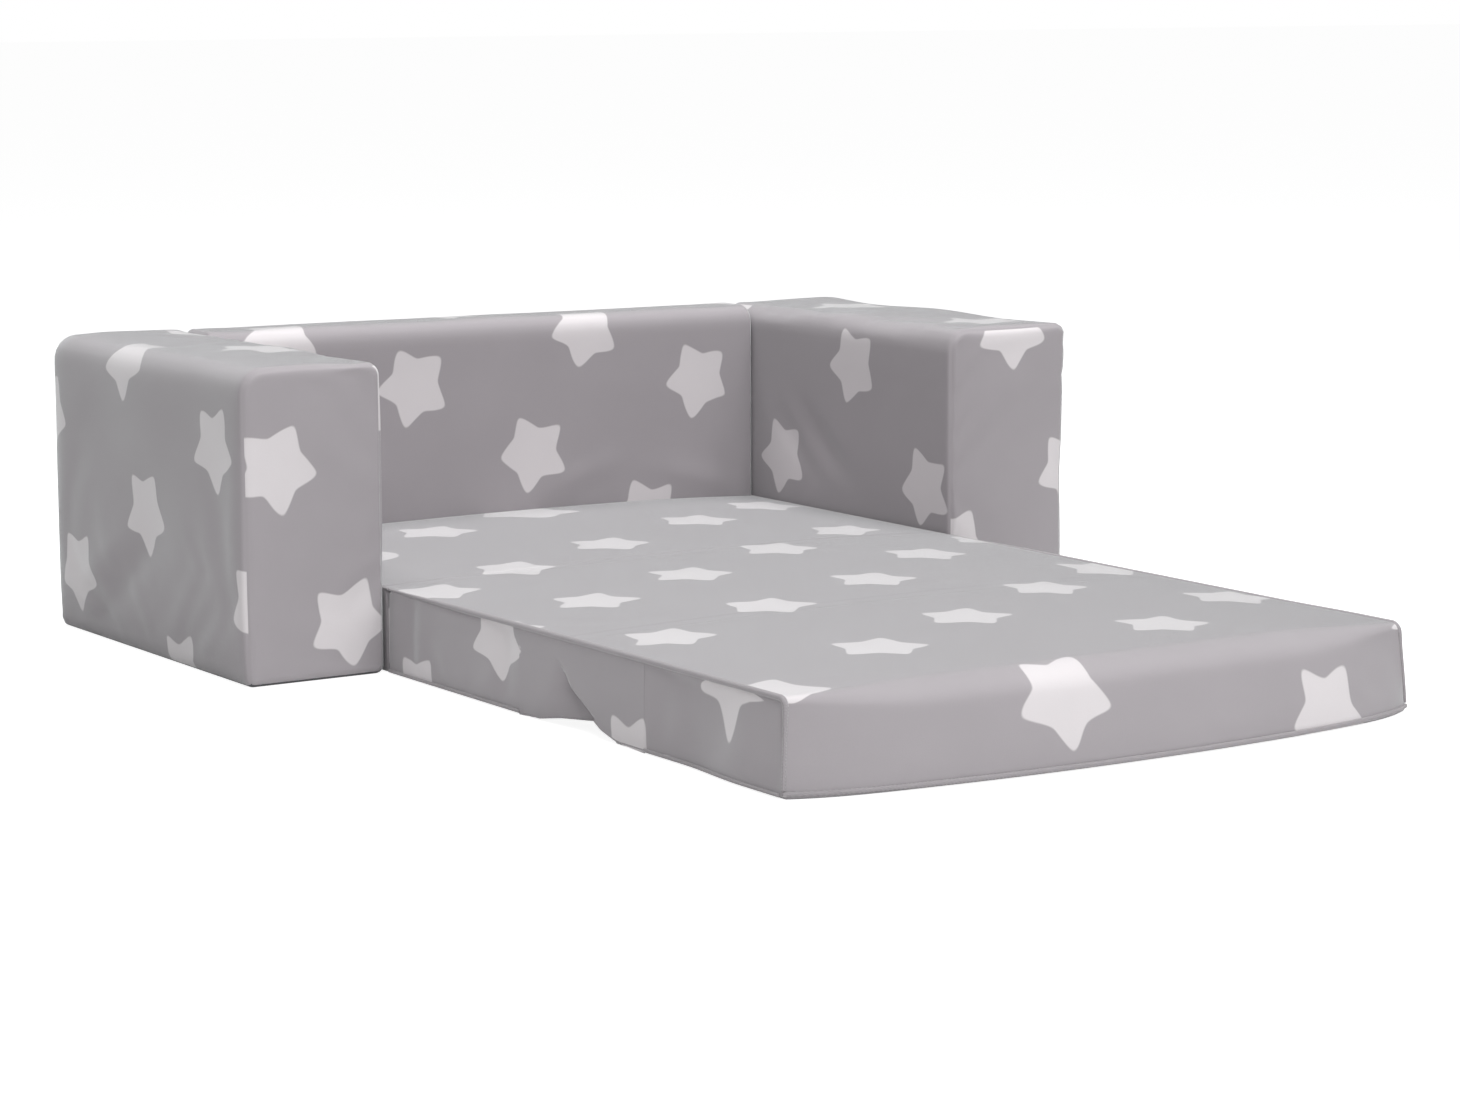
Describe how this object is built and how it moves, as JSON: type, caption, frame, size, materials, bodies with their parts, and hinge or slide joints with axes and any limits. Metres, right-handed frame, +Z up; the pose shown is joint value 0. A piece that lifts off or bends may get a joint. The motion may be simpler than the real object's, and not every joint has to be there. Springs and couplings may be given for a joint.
{
  "type": "fold-out foam sofa",
  "caption": "Low toddler sofa of covered foam: two block arms, a thin backrest and a base pad, with hinged pads that unfold forwards into a flat bed.",
  "frame": {"origin": "bottom centre of the sofa's bounding box, standing open with the pads laid flat on the floor", "axes": "+X across the sofa, to the right as seen from the front, +Y from the front edge of the pads to the rear, +Z up"},
  "size_m": [0.78, 0.9298, 0.239],
  "materials": {
    "printed_cover": "matt woven grey polyester with a scattered print of white rounded stars",
    "seam_welt": "matt grey seam piping of the cover fabric",
    "base_lining": "matt dark non-woven lining under the body",
    "foam": "open-cell foam, hidden inside the cover",
    "zip_nylon": "dark nylon zip tape and coil",
    "zip_metal": "satin metal zip slider and stops"
  },
  "bodies": {
    "sofa_body": {"backrest_base_panel": "base_lining", "backrest_cover": "printed_cover", "backrest_foam": "foam", "base_pad_foam": "foam", "base_pad_left_gusset": "printed_cover", "base_pad_left_welt": "seam_welt", "base_pad_right_gusset": "printed_cover", "base_pad_right_welt": "seam_welt", "base_pad_top_cover": "printed_cover", "base_pad_under_cover": "printed_cover", "left_arm_base_panel": "base_lining", "left_arm_foam": "foam", "left_arm_front_panel": "printed_cover", "left_arm_front_welt": "seam_welt", "left_arm_wrap_cover": "printed_cover", "rear_panel": "printed_cover", "right_arm_base_panel": "base_lining", "right_arm_foam": "foam", "right_arm_front_panel": "printed_cover", "right_arm_front_welt": "seam_welt", "right_arm_wrap_cover": "printed_cover", "zip_coil": "zip_nylon", "zip_left_stop": "zip_metal", "zip_right_stop": "zip_metal", "zip_tape": "zip_nylon"},
    "middle_pad": {"middle_pad_foam": "foam", "middle_pad_left_gusset": "printed_cover", "middle_pad_left_welt": "seam_welt", "middle_pad_right_gusset": "printed_cover", "middle_pad_right_welt": "seam_welt", "middle_pad_top_cover": "printed_cover", "middle_pad_under_cover": "printed_cover"},
    "front_pad": {"front_pad_foam": "foam", "front_pad_front_welt": "seam_welt", "front_pad_left_gusset": "printed_cover", "front_pad_left_welt": "seam_welt", "front_pad_right_gusset": "printed_cover", "front_pad_right_welt": "seam_welt", "front_pad_top_cover": "printed_cover", "front_pad_under_cover": "printed_cover"},
    "zip_slider": {"zip_slider": "zip_metal"}
  },
  "joints": [
    {"name": "rear_fold", "type": "hinge", "parent": "sofa_body", "child": "middle_pad", "pos_m": [0, 0.1051, 0.0713], "axis": [-1, 0, 0], "range_deg": [0, 180]},
    {"name": "front_fold", "type": "hinge", "parent": "middle_pad", "child": "front_pad", "pos_m": [0, -0.1719, 0.0646], "axis": [1, 0, 0], "range_deg": [0, 83.5]},
    {"name": "zip_slide", "type": "slide", "parent": "sofa_body", "child": "zip_slider", "axis": [-1, 0, 0], "range_m": [0, 0.5398]}
  ],
  "couplings": [
    {"joint": "front_fold", "follows": "rear_fold", "ratio": 0.46388}
  ]
}
